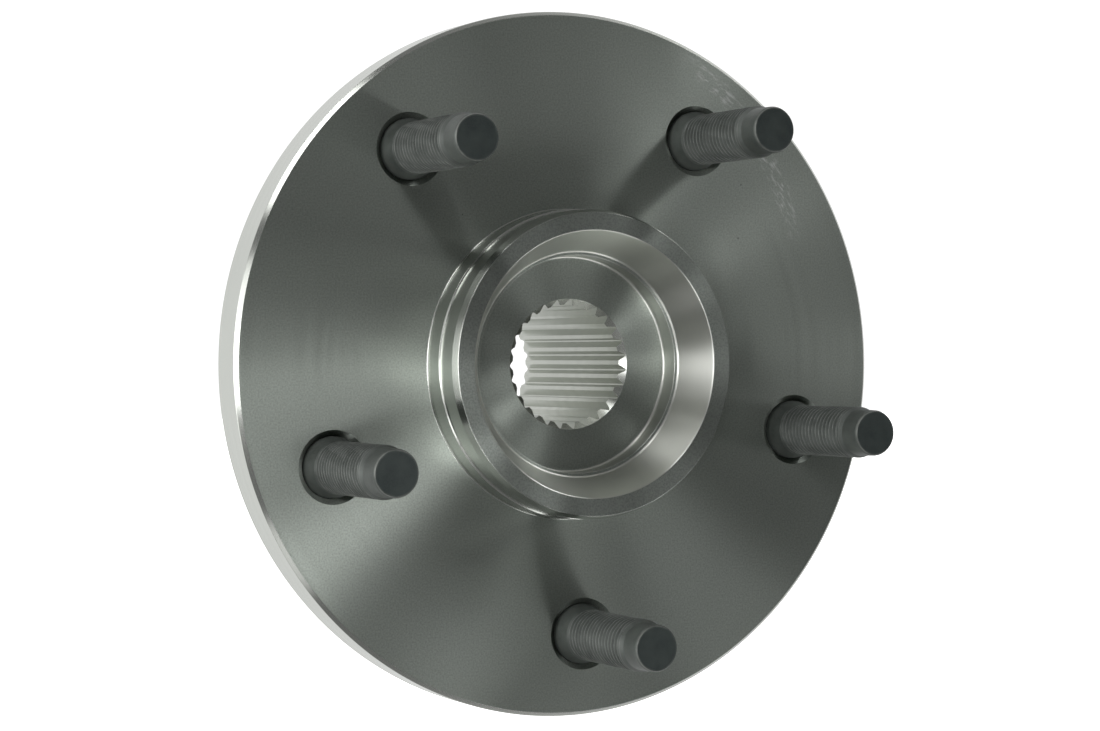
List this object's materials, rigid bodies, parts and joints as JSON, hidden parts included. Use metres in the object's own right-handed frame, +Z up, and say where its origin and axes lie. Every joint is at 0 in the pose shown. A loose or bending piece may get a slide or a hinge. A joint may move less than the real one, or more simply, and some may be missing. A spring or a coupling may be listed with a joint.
{
  "type": "wheel hub bearing",
  "caption": "Flanged wheel hub with pressed-in studs, pilot and splined bore, running on two sealed rows of balls in a housing with tapped ears for the steering knuckle.",
  "frame": {"origin": "on the spin axis, in the plane of the wheel mounting face and of the axle nut's seat", "axes": "+Y along the spin axis, inboard towards the knuckle; -Y outboard; +Z up; +X to the right seen from the wheel side"},
  "size_m": [0.165, 0.0911, 0.165],
  "materials": {
    "turned_steel": "faced and turned, bare",
    "housing_steel": "forged, turned on the fitting faces",
    "ring_steel": "ground",
    "ball_steel": "lapped",
    "stud_steel": "black phosphate",
    "cage_polymer": "moulded",
    "seal_steel": "pressed sheet",
    "seal_rubber": "matt"
  },
  "bodies": {
    "housing": {"bearing_housing": "housing_steel", "outboard_seal_case": "seal_steel", "outboard_seal_lip": "seal_rubber", "inboard_seal_case": "seal_steel", "inboard_seal_lip": "seal_rubber"},
    "hub": {"hub_flange": "turned_steel", "inner_ring": "ring_steel", "inboard_slinger": "seal_steel", "wheel_stud_1": "stud_steel", "wheel_stud_2": "stud_steel", "wheel_stud_3": "stud_steel", "wheel_stud_4": "stud_steel", "wheel_stud_5": "stud_steel"},
    "outboard_cage": {"outboard_cage": "cage_polymer"},
    "inboard_cage": {"inboard_cage": "cage_polymer"},
    "outboard_ball_01": {"outboard_ball_01": "ball_steel"},
    "outboard_ball_02": {"outboard_ball_02": "ball_steel"},
    "outboard_ball_03": {"outboard_ball_03": "ball_steel"},
    "outboard_ball_04": {"outboard_ball_04": "ball_steel"},
    "outboard_ball_05": {"outboard_ball_05": "ball_steel"},
    "outboard_ball_06": {"outboard_ball_06": "ball_steel"},
    "outboard_ball_07": {"outboard_ball_07": "ball_steel"},
    "outboard_ball_08": {"outboard_ball_08": "ball_steel"},
    "outboard_ball_09": {"outboard_ball_09": "ball_steel"},
    "outboard_ball_10": {"outboard_ball_10": "ball_steel"},
    "outboard_ball_11": {"outboard_ball_11": "ball_steel"},
    "outboard_ball_12": {"outboard_ball_12": "ball_steel"},
    "outboard_ball_13": {"outboard_ball_13": "ball_steel"},
    "inboard_ball_01": {"inboard_ball_01": "ball_steel"},
    "inboard_ball_02": {"inboard_ball_02": "ball_steel"},
    "inboard_ball_03": {"inboard_ball_03": "ball_steel"},
    "inboard_ball_04": {"inboard_ball_04": "ball_steel"},
    "inboard_ball_05": {"inboard_ball_05": "ball_steel"},
    "inboard_ball_06": {"inboard_ball_06": "ball_steel"},
    "inboard_ball_07": {"inboard_ball_07": "ball_steel"},
    "inboard_ball_08": {"inboard_ball_08": "ball_steel"},
    "inboard_ball_09": {"inboard_ball_09": "ball_steel"},
    "inboard_ball_10": {"inboard_ball_10": "ball_steel"},
    "inboard_ball_11": {"inboard_ball_11": "ball_steel"},
    "inboard_ball_12": {"inboard_ball_12": "ball_steel"},
    "inboard_ball_13": {"inboard_ball_13": "ball_steel"}
  },
  "joints": [
    {"name": "hub_spin", "type": "hinge", "parent": "housing", "child": "hub", "pos_m": [0, 0, 0], "axis": [0, 1, 0], "continuous": true},
    {"name": "outboard_cage_spin", "type": "hinge", "parent": "housing", "child": "outboard_cage", "pos_m": [0, 0.02451, 0], "axis": [0, 1, 0], "continuous": true},
    {"name": "inboard_cage_spin", "type": "hinge", "parent": "housing", "child": "inboard_cage", "pos_m": [0, 0.04201, 0], "axis": [0, 1, 0], "continuous": true},
    {"name": "outboard_ball_01_spin", "type": "hinge", "parent": "outboard_cage", "child": "outboard_ball_01", "pos_m": [0.029, 0.02451, 0], "axis": [-0.6428, 0.766, 0], "continuous": true},
    {"name": "outboard_ball_02_spin", "type": "hinge", "parent": "outboard_cage", "child": "outboard_ball_02", "pos_m": [0.02568, 0.02451, 0.01348], "axis": [-0.5692, 0.766, -0.2987], "continuous": true},
    {"name": "outboard_ball_03_spin", "type": "hinge", "parent": "outboard_cage", "child": "outboard_ball_03", "pos_m": [0.01647, 0.02451, 0.02387], "axis": [-0.3651, 0.766, -0.529], "continuous": true},
    {"name": "outboard_ball_04_spin", "type": "hinge", "parent": "outboard_cage", "child": "outboard_ball_04", "pos_m": [0.0035, 0.02451, 0.02879], "axis": [-0.0775, 0.766, -0.6381], "continuous": true},
    {"name": "outboard_ball_05_spin", "type": "hinge", "parent": "outboard_cage", "child": "outboard_ball_05", "pos_m": [-0.01028, 0.02451, 0.02712], "axis": [0.2279, 0.766, -0.601], "continuous": true},
    {"name": "outboard_ball_06_spin", "type": "hinge", "parent": "outboard_cage", "child": "outboard_ball_06", "pos_m": [-0.02171, 0.02451, 0.01923], "axis": [0.4811, 0.766, -0.4262], "continuous": true},
    {"name": "outboard_ball_07_spin", "type": "hinge", "parent": "outboard_cage", "child": "outboard_ball_07", "pos_m": [-0.02816, 0.02451, 0.00694], "axis": [0.6241, 0.766, -0.1538], "continuous": true},
    {"name": "outboard_ball_08_spin", "type": "hinge", "parent": "outboard_cage", "child": "outboard_ball_08", "pos_m": [-0.02816, 0.02451, -0.00694], "axis": [0.6241, 0.766, 0.1538], "continuous": true},
    {"name": "outboard_ball_09_spin", "type": "hinge", "parent": "outboard_cage", "child": "outboard_ball_09", "pos_m": [-0.02171, 0.02451, -0.01923], "axis": [0.4811, 0.766, 0.4262], "continuous": true},
    {"name": "outboard_ball_10_spin", "type": "hinge", "parent": "outboard_cage", "child": "outboard_ball_10", "pos_m": [-0.01028, 0.02451, -0.02712], "axis": [0.2279, 0.766, 0.601], "continuous": true},
    {"name": "outboard_ball_11_spin", "type": "hinge", "parent": "outboard_cage", "child": "outboard_ball_11", "pos_m": [0.0035, 0.02451, -0.02879], "axis": [-0.0775, 0.766, 0.6381], "continuous": true},
    {"name": "outboard_ball_12_spin", "type": "hinge", "parent": "outboard_cage", "child": "outboard_ball_12", "pos_m": [0.01647, 0.02451, -0.02387], "axis": [-0.3651, 0.766, 0.529], "continuous": true},
    {"name": "outboard_ball_13_spin", "type": "hinge", "parent": "outboard_cage", "child": "outboard_ball_13", "pos_m": [0.02568, 0.02451, -0.01348], "axis": [-0.5692, 0.766, 0.2987], "continuous": true},
    {"name": "inboard_ball_01_spin", "type": "hinge", "parent": "inboard_cage", "child": "inboard_ball_01", "pos_m": [0.029, 0.04201, 0], "axis": [0.6428, 0.766, 0], "continuous": true},
    {"name": "inboard_ball_02_spin", "type": "hinge", "parent": "inboard_cage", "child": "inboard_ball_02", "pos_m": [0.02568, 0.04201, 0.01348], "axis": [0.5692, 0.766, 0.2987], "continuous": true},
    {"name": "inboard_ball_03_spin", "type": "hinge", "parent": "inboard_cage", "child": "inboard_ball_03", "pos_m": [0.01647, 0.04201, 0.02387], "axis": [0.3651, 0.766, 0.529], "continuous": true},
    {"name": "inboard_ball_04_spin", "type": "hinge", "parent": "inboard_cage", "child": "inboard_ball_04", "pos_m": [0.0035, 0.04201, 0.02879], "axis": [0.0775, 0.766, 0.6381], "continuous": true},
    {"name": "inboard_ball_05_spin", "type": "hinge", "parent": "inboard_cage", "child": "inboard_ball_05", "pos_m": [-0.01028, 0.04201, 0.02712], "axis": [-0.2279, 0.766, 0.601], "continuous": true},
    {"name": "inboard_ball_06_spin", "type": "hinge", "parent": "inboard_cage", "child": "inboard_ball_06", "pos_m": [-0.02171, 0.04201, 0.01923], "axis": [-0.4811, 0.766, 0.4262], "continuous": true},
    {"name": "inboard_ball_07_spin", "type": "hinge", "parent": "inboard_cage", "child": "inboard_ball_07", "pos_m": [-0.02816, 0.04201, 0.00694], "axis": [-0.6241, 0.766, 0.1538], "continuous": true},
    {"name": "inboard_ball_08_spin", "type": "hinge", "parent": "inboard_cage", "child": "inboard_ball_08", "pos_m": [-0.02816, 0.04201, -0.00694], "axis": [-0.6241, 0.766, -0.1538], "continuous": true},
    {"name": "inboard_ball_09_spin", "type": "hinge", "parent": "inboard_cage", "child": "inboard_ball_09", "pos_m": [-0.02171, 0.04201, -0.01923], "axis": [-0.4811, 0.766, -0.4262], "continuous": true},
    {"name": "inboard_ball_10_spin", "type": "hinge", "parent": "inboard_cage", "child": "inboard_ball_10", "pos_m": [-0.01028, 0.04201, -0.02712], "axis": [-0.2279, 0.766, -0.601], "continuous": true},
    {"name": "inboard_ball_11_spin", "type": "hinge", "parent": "inboard_cage", "child": "inboard_ball_11", "pos_m": [0.0035, 0.04201, -0.02879], "axis": [0.0775, 0.766, -0.6381], "continuous": true},
    {"name": "inboard_ball_12_spin", "type": "hinge", "parent": "inboard_cage", "child": "inboard_ball_12", "pos_m": [0.01647, 0.04201, -0.02387], "axis": [0.3651, 0.766, -0.529], "continuous": true},
    {"name": "inboard_ball_13_spin", "type": "hinge", "parent": "inboard_cage", "child": "inboard_ball_13", "pos_m": [0.02568, 0.04201, -0.01348], "axis": [0.5692, 0.766, -0.2987], "continuous": true}
  ],
  "couplings": [
    {"joint": "outboard_cage_spin", "follows": "hub_spin", "ratio": 0.42661},
    {"joint": "inboard_cage_spin", "follows": "hub_spin", "ratio": 0.42661},
    {"joint": "outboard_ball_01_spin", "follows": "hub_spin", "ratio": -2.5535},
    {"joint": "outboard_ball_02_spin", "follows": "hub_spin", "ratio": -2.5535},
    {"joint": "outboard_ball_03_spin", "follows": "hub_spin", "ratio": -2.5535},
    {"joint": "outboard_ball_04_spin", "follows": "hub_spin", "ratio": -2.5535},
    {"joint": "outboard_ball_05_spin", "follows": "hub_spin", "ratio": -2.5535},
    {"joint": "outboard_ball_06_spin", "follows": "hub_spin", "ratio": -2.5535},
    {"joint": "outboard_ball_07_spin", "follows": "hub_spin", "ratio": -2.5535},
    {"joint": "outboard_ball_08_spin", "follows": "hub_spin", "ratio": -2.5535},
    {"joint": "outboard_ball_09_spin", "follows": "hub_spin", "ratio": -2.5535},
    {"joint": "outboard_ball_10_spin", "follows": "hub_spin", "ratio": -2.5535},
    {"joint": "outboard_ball_11_spin", "follows": "hub_spin", "ratio": -2.5535},
    {"joint": "outboard_ball_12_spin", "follows": "hub_spin", "ratio": -2.5535},
    {"joint": "outboard_ball_13_spin", "follows": "hub_spin", "ratio": -2.5535},
    {"joint": "inboard_ball_01_spin", "follows": "hub_spin", "ratio": -2.5535},
    {"joint": "inboard_ball_02_spin", "follows": "hub_spin", "ratio": -2.5535},
    {"joint": "inboard_ball_03_spin", "follows": "hub_spin", "ratio": -2.5535},
    {"joint": "inboard_ball_04_spin", "follows": "hub_spin", "ratio": -2.5535},
    {"joint": "inboard_ball_05_spin", "follows": "hub_spin", "ratio": -2.5535},
    {"joint": "inboard_ball_06_spin", "follows": "hub_spin", "ratio": -2.5535},
    {"joint": "inboard_ball_07_spin", "follows": "hub_spin", "ratio": -2.5535},
    {"joint": "inboard_ball_08_spin", "follows": "hub_spin", "ratio": -2.5535},
    {"joint": "inboard_ball_09_spin", "follows": "hub_spin", "ratio": -2.5535},
    {"joint": "inboard_ball_10_spin", "follows": "hub_spin", "ratio": -2.5535},
    {"joint": "inboard_ball_11_spin", "follows": "hub_spin", "ratio": -2.5535},
    {"joint": "inboard_ball_12_spin", "follows": "hub_spin", "ratio": -2.5535},
    {"joint": "inboard_ball_13_spin", "follows": "hub_spin", "ratio": -2.5535}
  ]
}
